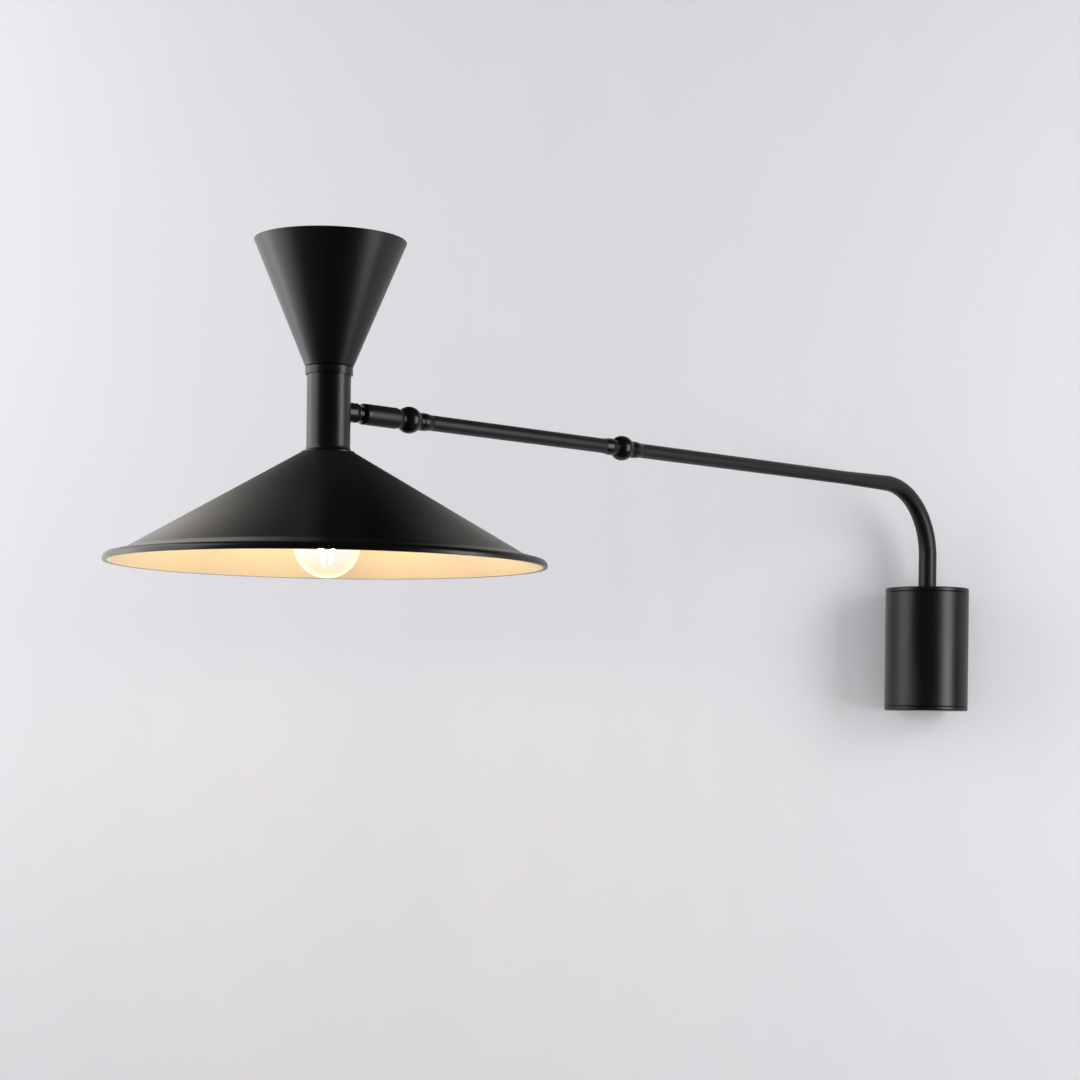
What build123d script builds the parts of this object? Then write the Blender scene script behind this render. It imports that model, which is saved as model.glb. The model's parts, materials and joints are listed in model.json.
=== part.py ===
from build123d import *
from math import asin, atan2, acos, cos, degrees, hypot, radians, sin, tan
import os

# Swing arm wall lamp, in millimetres.
# Row frame: origin on the wall, at the middle of the wall plate's back face. +X is right, +Y is into
# the wall and +Z is up. Arm frame: origin on the post's axis, x outward along the arm, z as in the row.
# Head frame: origin on the stem's axis, in the plane of the shade's rim, z up.

# Wall base
base_radius = 36.2
base_height = 107.0
base_wall = 1.5
cap_thickness = 3.7
cap_edge_round = 1.2
seam_chamfer = 0.5
spigot_depth = 5.0
spigot_wall = 1.5
post_to_wall = 30.0
plate_width = 34.0
plate_thickness = 2.0
tab_width = 20.0
top_tab_reach = 14.0
bottom_tab_reach = 19.0
wall_hole_spacing = 72.0
wall_hole_radius = 2.3
cable_hole_radius = 8.0
cable_hole_height = 11.0
grommet_lip = 1.5
grommet_bore_radius = 4.5
bottom_screw_radius = 2.0
bottom_screw_length = 9.0
bottom_screw_to_wall = 12.0
bottom_socket_width = 2.5
bottom_socket_depth = 1.5
countersink_radius = 4.0
earth_screw_radius = 2.0
earth_screw_height = 26.0
earth_head_radius = 4.0
earth_head_height = 2.0
screw_slot_width = 0.8
screw_slot_depth = 0.8

# Mains terminal block
block_width = 28.0
block_depth = 16.0
block_height = 18.0
block_base_z = -30.0
block_poles = 3
block_pole_pitch = 8.5
block_entry_radius = 1.8
block_screw_radius = 1.5
block_screw_depth = 5.0
block_screw_sunk = 1.0

# Swing bearing
boss_radius = 14.0
boss_depth = 13.0
bush_radius = 11.0
bush_flange = 1.5
cap_skin = 2.0
post_foot_z = 5.0
shelf_top_z = -4.0
shelf_thickness = 3.0
shelf_back_gap = 8.0
spindle_plug_length = 20.0
spindle_flange_radius = 10.0
spindle_shaft_radius = 5.0
spindle_bore_radius = 3.2
spindle_tail = 2.0
lower_bush_radius = 7.0
washer_thickness = 1.5
wave_washer_radius = 9.0
spindle_nut_width = 17.0
spindle_nut_height = 8.0
stop_pin_radius = 2.0
stop_pin_start = 6.0
stop_pin_reach = 22.0
stop_post_radius = 2.5
stop_post_tail_radius = 1.5
stop_post_circle = 19.0
stop_post_height = 9.0

# Arm
arm_rest_angle = 45.0
swing_back = 33.0
swing_forward = 123.0
arm_height = 141.0
arm_length = 387.3
forearm_length = 214.7
head_offset = 72.0
post_radius = 7.8
bend_radius = 60.0
bend_end_radius = 6.5
taper_end = 115.0
arm_radius = 5.5
arm_bore_radius = 4.0
plug_bore_radius = 6.2

# Ball knuckles
ball_radius = 9.4
ball_gap = 0.35
ring_thickness = 0.8
ring_width = 1.5
ring_edge = 0.6
channel_inner_radius = 3.6
channel_outer_radius = 7.2
channel_depth = 3.2
neck_radius = 5.7
neck_length = 11.0
collar_radius = 6.3
collar_length = 3.5
knuckle_length = 20.0
plug_length = 10.0
wire_bore_radius = 2.3
wire_bore_start = 4.6
pivot_screw_radius = 2.0
pivot_head_radius = 3.5
pivot_head_height = 2.2
pivot_seat_depth = 5.9
pivot_washer = 0.8
pivot_thread_depth = 7.0
pivot_socket_width = 2.6
pivot_socket_depth = 1.5

# Swivel sleeve
sleeve_radius = 7.3
sleeve_wall = 1.2
sleeve_start = 8.6
sleeve_chamfer_length = 4.0
sleeve_plug_length = 12.0
boss_length = 6.1
boss_edge = 0.5
swivel_radius = 6.7
swivel_washer_radius = 6.2
swivel_washer_thickness = 1.0
swivel_disc_length = 2.6
swivel_disc_round = 1.0
swivel_neck_radius = 4.8
swivel_neck_length = 3.6
dome_length = 4.8
dome_round = 2.6
swivel_plug_length = 5.0
swivel_spindle_radius = 4.0
swivel_spindle_bore = 2.6
swivel_spindle_proud = 1.0
swivel_nut_radius = 5.5
swivel_nut_height = 3.6
swivel_wave_thickness = 1.0
lock_nut_height = 3.0

# Stem and upper cone
arm_above_rim = 105.7
stem_radius = 14.9
stem_wall = 1.5
stem_foot_radius = 18.2
stem_foot_edge = 0.7
stem_foot_height = 5.0
stem_top = 129.1
ring_collar_radius = 16.2
ring_collar_height = 5.4
ring_collar_edge = 0.4
ring_collar_spigot = 6.0
cone_foot_radius = 16.3
cone_rim_radius = 51.75
cone_height = 84.9
sheet = 1.2

# Lower shade
shade_radius = 150.0
shade_kink_radius = 136.0
shade_slope = 30.2
lip_slope = 13.7
nose_radius = 4.0
nose_drop = 1.3
hem_width = 2.9
crown_radius = 18.4

# Lampholder and centre rod
rod_radius = 5.0
rod_bore_radius = 3.2
rod_foot_height = 90.0
rod_top_clear = 2.0
rod_washer_radius = 10.0
rod_nut_width = 14.0
rod_nut_height = 6.0
holder_radius = 13.0
holder_mouth = 45.0
holder_split = 88.0
holder_bore_radius = 7.6
holder_floor = 70.0
holder_floor_thickness = 3.0
holder_chamber_radius = 10.5
holder_cap_radius = 12.5
holder_cap_height = 8.0
holder_cap_round = 1.2
holder_hub_radius = 7.5
holder_hub_height = 3.0
shade_ring_radius = 18.0
shade_ring_height = 4.0
screw_shell_wall = 0.5
screw_shell_foot = 47.0
screw_shell_length = 20.0
contact_radius = 2.6
contact_thickness = 0.7

# Bulb
globe_radius = 22.4
globe_centre = 13.7
glass = 0.8
bulb_neck_radius = 6.8
bulb_neck_height = 47.0
bulb_neck_straight = 3.0
bulb_cap_radius = 6.95
bulb_cap_length = 17.0
bulb_insulator_length = 4.0
bulb_tip_radius = 2.4
bulb_mount_radius = 3.6
bulb_mount_length = 17.0
bulb_mount_tip_radius = 1.4
filament_radius = 0.9
filament_length = 30.0
filament_circle = 5.5
filament_count = 4
filament_wire_radius = 0.45
filament_wire_rise = 6.8

# Fits: radial clearances of running and seated round pieces
running_fit = 0.05
seat_fit = 0.02
loose_fit = 0.3

# Places worked out from the sizes above
half_height = base_height / 2
cap_face = half_height - cap_thickness
elbow_x = arm_length
wrist_x = elbow_x + forearm_length
stem_x = wrist_x + head_offset
split = ring_thickness / 2
spindle_flange_z = shelf_top_z + 2 * washer_thickness
washer_top_z = shelf_top_z - shelf_thickness
kink_height = nose_drop + nose_radius * cos(radians(lip_slope)) + tan(radians(lip_slope)) * (
    shade_radius - nose_radius + nose_radius * sin(radians(lip_slope)) - shade_kink_radius
)
crown_height = kink_height + (shade_kink_radius - crown_radius) * tan(radians(shade_slope))
ring_collar_top = stem_top + ring_collar_height
cone_floor_top = ring_collar_top + sheet
contact_height = holder_floor - contact_thickness
boss_end = stem_radius + boss_length
disc_start = boss_end + swivel_washer_thickness
dome_start = disc_start + swivel_disc_length + swivel_neck_length
sleeve_end = dome_start + dome_length
swivel_plug_end = sleeve_end + swivel_plug_length
lock_nut_start = swivel_plug_end + swivel_wave_thickness

arm_place = Location((0, -post_to_wall, 0), (0, 0, 180 + arm_rest_angle))
elbow_place = arm_place * Location((elbow_x, 0, arm_height))
wrist_place = arm_place * Location((wrist_x, 0, arm_height))
head_place = arm_place * Location((stem_x, 0, arm_height - arm_above_rim))
post_place = Location((0, -post_to_wall, 0))
along_x = Rot(0, 90, 0)
along_y = Rot(-90, 0, 0)
half_turn = Rot(0, 0, 180)
# From the stem's axis back along the arm, towards the wall
back_along_arm = head_place * Location((0, 0, arm_above_rim)) * Rot(0, -90, 0)


# Basic solids

def rod(radius, start, end):
    """A round bar on the Z axis between two heights."""
    return Pos(0, 0, start) * Cylinder(radius, end - start, align=(Align.CENTER, Align.CENTER, Align.MIN))


def tube(outer, inner, start, end):
    """A round tube on the Z axis between two heights."""
    return rod(outer, start, end) - rod(inner, start, end)


def hexagon(width, start, end):
    """A hexagonal bar on the Z axis, its width measured across the flats."""
    return extrude(Pos(0, 0, start) * RegularPolygon(width / 2, 6, major_radius=False), end - start)


def lathe(outline):
    """A solid turned about the Z axis from a closed outline of lines and arcs in (radius, height)."""
    return revolve(Plane.XZ * make_face(outline), Axis.Z)


def turned(*points):
    """A solid turned about the Z axis from corner points in (radius, height)."""
    return lathe(Polyline(*points, close=True))


def block(low, high):
    """A box between two opposite corners."""
    size = [b - a for a, b in zip(low, high)]
    return Pos(*low) * Box(*size, align=(Align.MIN, Align.MIN, Align.MIN))


def room_side(solid, gap=0.0):
    """What lies more than gap in front of the wall, for a solid on the post's axis."""
    reach = 4 * base_radius
    return solid & block((-reach, -reach, -reach), (reach, post_to_wall - gap, reach))


# Wall base

def wall_plate():
    """The flat plate that is screwed to the wall, with a tab at the top and one at the bottom."""
    plate = block((-plate_width / 2, -plate_thickness, -cap_face), (plate_width / 2, 0, cap_face))
    for side, reach in ((1, top_tab_reach), (-1, bottom_tab_reach)):
        inner, outer = sorted((side * cap_face, side * (cap_face - plate_thickness)))
        plate += block((-tab_width / 2, -reach, inner), (tab_width / 2, 0, outer))
    through = 2 * plate_thickness
    for height in (-wall_hole_spacing / 2, wall_hole_spacing / 2):
        plate -= Pos(0, 0, height) * along_y * rod(wall_hole_radius, -through, through)
    plate -= Pos(0, 0, cable_hole_height) * along_y * rod(cable_hole_radius, -through, through)
    plate -= Pos(0, 0, earth_screw_height) * along_y * rod(earth_screw_radius, -through, through)
    plate -= Pos(0, -bottom_screw_to_wall, 0) * rod(bottom_screw_radius, -half_height, 0)
    return plate


def cable_grommet():
    """The rubber ring in the cable hole, with a lip in front of the plate."""
    ring = turned(
        (grommet_bore_radius, 0),
        (cable_hole_radius - seat_fit, 0),
        (cable_hole_radius - seat_fit, plate_thickness),
        (cable_hole_radius + grommet_lip, plate_thickness),
        (cable_hole_radius + grommet_lip, plate_thickness + grommet_lip),
        (grommet_bore_radius, plate_thickness + grommet_lip),
    )
    return Pos(0, 0, cable_hole_height) * Rot(90, 0, 0) * ring


def block_pole_places():
    """Where the terminal block's poles stand, from left to right."""
    first = -(block_poles - 1) / 2 * block_pole_pitch
    return [first + pole * block_pole_pitch for pole in range(block_poles)]


def terminal_block():
    """The moulded block on the plate, with a wire entry and a screw well for each pole."""
    front = -plate_thickness - block_depth
    top = block_base_z + block_height
    body = block((-block_width / 2, front, block_base_z), (block_width / 2, -plate_thickness, top))
    middle = (front - plate_thickness) / 2
    for place in block_pole_places():
        body -= Pos(place, middle, 0) * rod(block_entry_radius, block_base_z, top)
        well = along_y * rod(block_screw_radius, front, front + block_screw_depth)
        body -= Pos(place, 0, (block_base_z + top) / 2) * well
    return body


def terminal_screws():
    """One brass screw in each well of the terminal block."""
    front = -plate_thickness - block_depth
    height = block_base_z + block_height / 2
    head = front + block_screw_sunk
    screw = along_y * rod(block_screw_radius - seat_fit, head, front + block_screw_depth)
    return Compound([Pos(place, 0, height) * screw for place in block_pole_places()])


def earth_screw():
    """The brass earth screw, its head in front of the plate."""
    top = plate_thickness + earth_head_height
    screw = rod(earth_screw_radius - seat_fit, 0, plate_thickness)
    screw += rod(earth_head_radius, plate_thickness, top)
    half_slot = screw_slot_width / 2
    screw -= block(
        (-earth_head_radius, -half_slot, top - screw_slot_depth), (earth_head_radius, half_slot, top)
    )
    return Pos(0, 0, earth_screw_height) * Rot(90, 0, 0) * screw


def base_housing():
    """The cylindrical cover: a tube, open at the wall, with its ends eased at the caps' seams."""
    cover = tube(base_radius, base_radius - base_wall, -cap_face, cap_face)
    ends = [cover.edges().group_by(Axis.Z)[end].sort_by(SortBy.RADIUS)[-1] for end in (0, -1)]
    return post_place * room_side(chamfer(ends, seam_chamfer))


def end_cap():
    """A cap with a spigot that fits inside the housing, lying under the origin of its own frame."""
    disc = rod(base_radius, 0, cap_thickness)
    disc = fillet(disc.edges().group_by(Axis.Z)[-1], cap_edge_round)
    disc = chamfer(disc.edges().group_by(Axis.Z)[0], seam_chamfer)
    spigot_radius = base_radius - base_wall - seat_fit
    spigot = tube(spigot_radius, spigot_radius - spigot_wall, -spigot_depth, 0)
    return room_side(disc) + room_side(spigot, top_tab_reach)


def base_top_cap():
    """The top cap, with the boss that carries the upper swing bush."""
    cap = end_cap() + rod(boss_radius, -boss_depth, 0)
    cap -= rod(bush_radius, -boss_depth, cap_thickness - cap_skin)
    cap -= rod(post_radius + loose_fit, 0, cap_thickness)
    return post_place * Pos(0, 0, cap_face) * cap


def base_bottom_cap():
    """The bottom cap, with a countersunk hole for the screw that holds the cover on."""
    cap = post_place * Pos(0, 0, -cap_face) * Rot(0, 180, 0) * end_cap()
    hole = rod(bottom_screw_radius + loose_fit, -half_height, -cap_face)
    sink = turned((0, 0), (countersink_radius, 0), (0, countersink_radius))
    return cap - Pos(0, -bottom_screw_to_wall, 0) * (hole + Pos(0, 0, -half_height) * sink)


def bottom_screw():
    """The countersunk screw from the bottom cap into the wall plate's lower tab."""
    head_radius = countersink_radius - 2 * seat_fit
    screw = turned((0, 0), (head_radius, 0), (0, head_radius))
    screw += rod(bottom_screw_radius - seat_fit, 0, bottom_screw_length)
    screw -= hexagon(bottom_socket_width, 0, bottom_socket_depth)
    return Pos(0, -bottom_screw_to_wall, -half_height) * screw


# Swing bearing

def bearing_shelf():
    """The shelf across the housing that carries the lower swing bush and the stop posts."""
    shelf = rod(base_radius - base_wall - seat_fit, washer_top_z, shelf_top_z)
    shelf = room_side(shelf, shelf_back_gap) - rod(lower_bush_radius, washer_top_z, shelf_top_z)
    for place in stop_post_places():
        shelf -= place * rod(stop_post_tail_radius, washer_top_z, shelf_top_z)
    return post_place * shelf


def stop_post_places():
    """Where the two stop posts stand, so that the stop pin meets them at the ends of the swing."""
    reach = stop_pin_radius + stop_post_radius + loose_fit
    lead = degrees(asin(reach / stop_post_circle))
    rest = 180 + arm_rest_angle
    angles = (rest - swing_back - lead, rest + swing_forward + lead)
    return [Rot(0, 0, angle) * Pos(stop_post_circle, 0, 0) for angle in angles]


def stop_posts():
    """The two rivets that limit the swing."""
    post = rod(stop_post_radius, shelf_top_z, shelf_top_z + stop_post_height)
    post += rod(stop_post_tail_radius - seat_fit, washer_top_z, shelf_top_z)
    return Compound([post_place * place * post for place in stop_post_places()])


def upper_bush():
    """The flanged bush inside the top cap's boss, in which the post turns."""
    foot = cap_face - boss_depth
    bush = tube(bush_radius - seat_fit, post_radius + running_fit, foot, half_height - cap_skin)
    flange = tube(boss_radius, post_radius + running_fit, foot - bush_flange, foot)
    return post_place * (bush + flange)


def lower_bush():
    """The flanged bush in the shelf, in which the spindle's shaft turns."""
    bore = spindle_shaft_radius + running_fit
    bush = tube(lower_bush_radius - seat_fit, bore, washer_top_z, shelf_top_z)
    flange = tube(spindle_flange_radius, bore, shelf_top_z, shelf_top_z + washer_thickness)
    return post_place * (bush + flange)


def thrust_washer():
    """The nylon washer that the spindle's flange turns on."""
    top = spindle_flange_z
    washer = tube(spindle_flange_radius, spindle_shaft_radius + running_fit, top - washer_thickness, top)
    return post_place * washer


def spindle_nut_top():
    """Height of the nut's upper face, under the two washers below the shelf."""
    return washer_top_z - 2 * washer_thickness


def post_spindle():
    """The hollow spindle pressed into the foot of the post."""
    tail = spindle_nut_top() - spindle_nut_height - spindle_tail
    spindle = rod(plug_bore_radius - seat_fit, post_foot_z, post_foot_z + spindle_plug_length)
    spindle += rod(spindle_flange_radius, spindle_flange_z, post_foot_z)
    spindle += rod(spindle_shaft_radius, tail, spindle_flange_z)
    spindle -= rod(spindle_bore_radius, tail, post_foot_z + spindle_plug_length)
    spindle -= pin_in_flange(stop_pin_radius)
    return arm_place * spindle


def pin_in_flange(radius):
    """A round bar lying through the spindle's flange, out to the stop posts."""
    height = (spindle_flange_z + post_foot_z) / 2
    return Pos(0, 0, height) * along_x * rod(radius, stop_pin_start, stop_pin_reach)


def stop_pin():
    """The cross pin in the spindle's flange that meets the stop posts."""
    return arm_place * pin_in_flange(stop_pin_radius - seat_fit)


def friction_washer():
    """The flat washer under the shelf, which turns with the spindle."""
    bottom = washer_top_z - washer_thickness
    return arm_place * tube(spindle_flange_radius, spindle_shaft_radius, bottom, washer_top_z)


def wave_washer():
    """The spring washer that keeps the swing's friction up."""
    top = washer_top_z - washer_thickness
    return arm_place * tube(wave_washer_radius, spindle_shaft_radius, top - washer_thickness, top)


def spindle_nut():
    """The nut on the spindle's thread, under the washers."""
    top = spindle_nut_top()
    nut = hexagon(spindle_nut_width, top - spindle_nut_height, top)
    return arm_place * (nut - rod(spindle_shaft_radius, top - spindle_nut_height, top))


# Arm

def arm_tube():
    """The upright post and the arm, one tube bent over and drawn down to a smaller diameter."""
    bend_start = arm_height - bend_radius
    outer = rod(post_radius, post_foot_z, bend_start)
    path = RadiusArc((0, bend_start), (bend_radius, arm_height), bend_radius)
    path = Plane.XZ * path
    sections = [
        Plane(path @ 0, z_dir=path % 0) * Circle(post_radius),
        Plane(path @ 1, z_dir=path % 1) * Circle(bend_end_radius),
    ]
    outer += sweep(sections, path=path, multisection=True)
    straight_end = elbow_x - knuckle_length
    straight = turned(
        (0, bend_radius),
        (bend_end_radius, bend_radius),
        (arm_radius, taper_end),
        (arm_radius, straight_end),
        (0, straight_end),
    )
    outer += Pos(0, 0, arm_height) * along_x * straight
    bore = rod(arm_bore_radius, post_foot_z, bend_start)
    bore += sweep(Plane(path @ 0, z_dir=path % 0) * Circle(arm_bore_radius), path=path)
    bore += Pos(0, 0, arm_height) * along_x * rod(arm_bore_radius, bend_radius, straight_end)
    bore += rod(plug_bore_radius, post_foot_z, post_foot_z + spindle_plug_length)
    return arm_place * (outer - bore)


def forearm_tube():
    """The straight tube between the elbow and the wrist."""
    start = elbow_x + knuckle_length
    end = wrist_x - knuckle_length
    return arm_place * Pos(0, 0, arm_height) * along_x * tube(arm_radius, arm_bore_radius, start, end)


# Ball knuckles: each is two half balls on a horizontal screw across the arm

def ball_half(neck, threaded):
    """Half a ball on the +y side, with its neck towards +x.

    neck is the turned neck and plug, threaded tells whether the screw ends in this half.
    """
    room = ball_radius + ball_gap
    other_half = Sphere(room) & block((-room, -room, -room), (room, split, room))
    half = Sphere(ball_radius) + along_x * neck - other_half
    half -= along_y * tube(channel_outer_radius, channel_inner_radius, split, split + channel_depth)
    half -= along_x * rod(wire_bore_radius, wire_bore_start, knuckle_length + plug_length)
    if threaded:
        return half - along_y * rod(pivot_screw_radius, 0, pivot_thread_depth)
    half -= along_y * rod(pivot_screw_radius + running_fit, 0, ball_radius)
    return half - along_y * rod(pivot_head_radius + loose_fit, pivot_seat_depth, ball_radius)


def tube_neck():
    """The neck, collar and plug of a knuckle half that carries an arm tube."""
    collar_end = neck_length + collar_length
    plug_radius = arm_bore_radius - seat_fit
    return turned(
        (0, 0),
        (neck_radius, 0),
        (neck_radius, neck_length),
        (collar_radius, neck_length),
        (collar_radius, collar_end),
        (arm_radius, knuckle_length),
        (plug_radius, knuckle_length),
        (plug_radius, knuckle_length + plug_length),
        (0, knuckle_length + plug_length),
    )


def sleeve_neck():
    """The short neck and plug of the knuckle half that carries the swivel sleeve."""
    return rod(sleeve_radius - sleeve_wall - seat_fit, 0, sleeve_start + sleeve_plug_length)


def elbow_arm_half():
    """The elbow half on the arm's end, through which the screw passes."""
    return elbow_place * half_turn * ball_half(tube_neck(), threaded=False)


def elbow_forearm_half():
    """The elbow half on the forearm's end, into which the screw is threaded."""
    return elbow_place * ball_half(tube_neck(), threaded=True)


def wrist_forearm_half():
    """The wrist half on the forearm's end, through which the screw passes."""
    return wrist_place * half_turn * ball_half(tube_neck(), threaded=False)


def wrist_sleeve_half():
    """The wrist half that carries the sleeve, into which the screw is threaded."""
    return wrist_place * ball_half(sleeve_neck(), threaded=True)


def friction_ring():
    """The ring between the flat faces of two knuckle halves."""
    outer = ball_radius - ring_edge
    return along_y * tube(outer, outer - ring_width, -split, split)


def pivot_washer_ring():
    """The spring washer under a pivot screw's head."""
    seat = -pivot_seat_depth
    return along_y * tube(pivot_head_radius, pivot_screw_radius + running_fit, seat - pivot_washer, seat)


def pivot_screw():
    """The socket screw that a knuckle turns on."""
    seat = -pivot_seat_depth - pivot_washer
    screw = rod(pivot_screw_radius, seat, pivot_thread_depth)
    screw += rod(pivot_head_radius, seat - pivot_head_height, seat)
    top = seat - pivot_head_height
    return along_y * (screw - hexagon(pivot_socket_width, top, top + pivot_socket_depth))


# Swivel sleeve between the wrist and the head

def swivel_sleeve():
    """The sleeve that leads to the stem, chamfered at its wrist end."""
    start = wrist_x + sleeve_start
    end = stem_x - sleeve_end
    inner = sleeve_radius - sleeve_wall
    shape = turned(
        (inner, start),
        (inner + seat_fit, start),
        (sleeve_radius, start + sleeve_chamfer_length),
        (sleeve_radius, end),
        (inner, end),
    )
    return arm_place * Pos(0, 0, arm_height) * along_x * shape


def sleeve_end_collar():
    """The turned end of the sleeve: a domed flange, a neck and the disc that turns on the boss."""
    plug_radius = sleeve_radius - sleeve_wall - seat_fit
    neck_start = disc_start + swivel_disc_length
    body = rod(swivel_radius, disc_start, neck_start)
    body = fillet(body.edges(), swivel_disc_round)
    body += rod(swivel_neck_radius, neck_start, dome_start)
    dome = rod(sleeve_radius, dome_start, sleeve_end)
    body += fillet(dome.edges().group_by(Axis.Z)[0], dome_round)
    body += rod(plug_radius, sleeve_end, swivel_plug_end)
    body -= rod(swivel_spindle_radius + running_fit, disc_start, swivel_plug_end)
    return back_along_arm * body


def swivel_wave_washer():
    """The spring washer inside the sleeve that keeps the swivel's friction up."""
    outer = sleeve_radius - sleeve_wall - loose_fit
    return back_along_arm * tube(outer, swivel_spindle_radius, swivel_plug_end, lock_nut_start)


def swivel_lock_nut():
    """The round nut on the swivel spindle's end, inside the sleeve."""
    outer = sleeve_radius - sleeve_wall - loose_fit
    nut = tube(outer, swivel_spindle_radius, lock_nut_start, lock_nut_start + lock_nut_height)
    return back_along_arm * nut


def stem_boss():
    """The round boss on the stem, hollowed to sit on its curved side."""
    boss = chamfer(rod(swivel_radius, 0, boss_end).edges().group_by(Axis.Z)[-1], boss_edge)
    boss -= along_x * rod(stem_radius, -boss_end, boss_end)
    boss -= rod(swivel_spindle_radius, 0, boss_end)
    return back_along_arm * boss


def swivel_washer():
    """The thin washer between the boss and the sleeve's disc."""
    bore = swivel_spindle_radius
    return back_along_arm * tube(swivel_washer_radius, bore, boss_end, disc_start)


def swivel_nut_face():
    """How far out the nut's flat face can lie inside the stem's round wall."""
    inner = stem_radius - stem_wall
    return (inner**2 - (swivel_nut_radius + seat_fit) ** 2) ** 0.5 - seat_fit


def swivel_spindle():
    """The hollow spindle from inside the stem into the sleeve, which carries the wires."""
    start = swivel_nut_face() - swivel_nut_height - swivel_spindle_proud
    end = lock_nut_start + lock_nut_height
    return back_along_arm * tube(swivel_spindle_radius, swivel_spindle_bore, start, end)


def swivel_spindle_nut():
    """The round nut that clamps the spindle to the stem's wall from inside."""
    face = swivel_nut_face()
    nut = tube(swivel_nut_radius, swivel_spindle_radius, face - swivel_nut_height, face)
    return back_along_arm * nut


# Stem and upper cone

def stem_tube():
    """The upright stem, with a flared foot on the shade's crown and a hole for the spindle."""
    inner = stem_radius - stem_wall
    foot_top = crown_height + stem_foot_height
    edge_top = crown_height + stem_foot_edge
    side = Line((stem_radius, foot_top), (stem_radius, stem_top))
    top = Polyline((stem_radius, stem_top), (inner, stem_top), (inner, crown_height))
    foot_edge = (stem_foot_radius, edge_top)
    bottom = Polyline((inner, crown_height), (stem_foot_radius, crown_height), foot_edge)
    flare = Bezier(foot_edge, (stem_radius, edge_top), (stem_radius, foot_top))
    stem = lathe(side + top + bottom + flare)
    hole = rod(swivel_spindle_radius, 0, boss_end)
    return head_place * stem - back_along_arm * hole


def ring_collar():
    """The collar on the stem's top, with a spigot inside the stem."""
    inner = stem_radius - stem_wall - seat_fit
    collar = rod(ring_collar_radius, stem_top, ring_collar_top)
    collar = chamfer(collar.edges().group_by(Axis.Z)[-1], ring_collar_edge)
    collar += rod(inner, stem_top - ring_collar_spigot, stem_top)
    return head_place * (collar - rod(rod_radius + running_fit, 0, ring_collar_top))


def upper_cone():
    """The upper cone: spun sheet with a flat floor, open at the top."""
    top = ring_collar_top + cone_height
    foot = (cone_foot_radius, ring_collar_top)
    outer = Polyline((rod_radius, ring_collar_top), foot, (cone_rim_radius, top))
    skin = offset(outer, sheet, side=Side.LEFT, kind=Kind.INTERSECTION)
    cone = revolve(Plane.XZ * make_face(skin), Axis.Z)
    return head_place * (cone - rod(rod_radius + running_fit, 0, top))


# Lower shade

def shade_outside():
    """The shade's outer line from the crown's hole to the rim: crown, cone, lip and rounded nose."""
    nose_centre = shade_radius - nose_radius
    slope = radians(lip_slope)
    lip_end = (nose_centre + nose_radius * sin(slope), nose_drop + nose_radius * cos(slope))
    rim_top = (shade_radius, nose_drop)
    line = Polyline(
        (holder_radius + loose_fit, crown_height),
        (crown_radius, crown_height),
        (shade_kink_radius, kink_height),
        lip_end,
    )
    nose = RadiusArc(lip_end, rim_top, nose_radius)
    return line + nose + Line(rim_top, (shade_radius, 0))


def shade_inside():
    """The shade's inner line from the rim to the crown's hole: the cone runs on over the filled hem."""
    slope = radians(shade_slope)
    drop = sheet / cos(slope)
    return Polyline(
        (shade_radius, 0),
        (shade_radius - hem_width, 0),
        (shade_kink_radius, kink_height - drop),
        (crown_radius - (drop - sheet) / tan(slope), crown_height - sheet),
        (holder_radius + loose_fit, crown_height - sheet),
        (holder_radius + loose_fit, crown_height),
    )


def lower_shade():
    """The wide shade: spun sheet with a thick hemmed rim, open at the bottom."""
    skin = make_face(shade_outside() + shade_inside())
    return head_place * revolve(Plane.XZ * skin, Axis.Z)


def shade_ring():
    """The ring on the lampholder's thread that clamps the shade's crown against the stem's foot."""
    top = crown_height - sheet
    ring = tube(shade_ring_radius, holder_radius, top - shade_ring_height, top)
    return head_place * ring


# Lampholder and centre rod

def centre_rod():
    """The threaded tube that pulls the lampholder, stem, collar and upper cone together."""
    top = cone_floor_top + washer_thickness + rod_nut_height + rod_top_clear
    return head_place * tube(rod_radius, rod_bore_radius, rod_foot_height, top)


def rod_washer():
    """The flat washer on the upper cone's floor."""
    top = cone_floor_top + washer_thickness
    return head_place * tube(rod_washer_radius, rod_radius, cone_floor_top, top)


def rod_nut():
    """The nut on the centre rod, inside the upper cone."""
    foot = cone_floor_top + washer_thickness
    nut = hexagon(rod_nut_width, foot, foot + rod_nut_height)
    return head_place * (nut - rod(rod_radius, foot, foot + rod_nut_height))


def lampholder_cap():
    """The lampholder's cap, with the threaded hub that takes the centre rod."""
    top = holder_split + holder_cap_height
    cap = rod(holder_cap_radius, holder_split, top)
    cap = fillet(cap.edges().group_by(Axis.Z)[-1], holder_cap_round)
    cap += rod(holder_hub_radius, top, top + holder_hub_height)
    cap -= rod(rod_radius, holder_split, top + holder_hub_height)
    return head_place * (cap - rod(holder_chamber_radius, holder_split, rod_foot_height))


def lampholder_body():
    """The lampholder's body: a bore for the bulb's cap below a floor, and a wire chamber above."""
    body = rod(holder_radius, holder_mouth, holder_split)
    body -= rod(holder_bore_radius, holder_mouth, holder_floor)
    body -= rod(holder_chamber_radius, holder_floor + holder_floor_thickness, holder_split)
    return head_place * body


def lampholder_shell():
    """The brass screw shell in the lampholder's bore."""
    shell_end = screw_shell_foot + screw_shell_length
    outer = holder_bore_radius - seat_fit
    return head_place * tube(outer, outer - screw_shell_wall, screw_shell_foot, shell_end)


def centre_contact():
    """The brass contact under the lampholder's floor."""
    return head_place * rod(contact_radius, contact_height, holder_floor)


# Bulb

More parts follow.
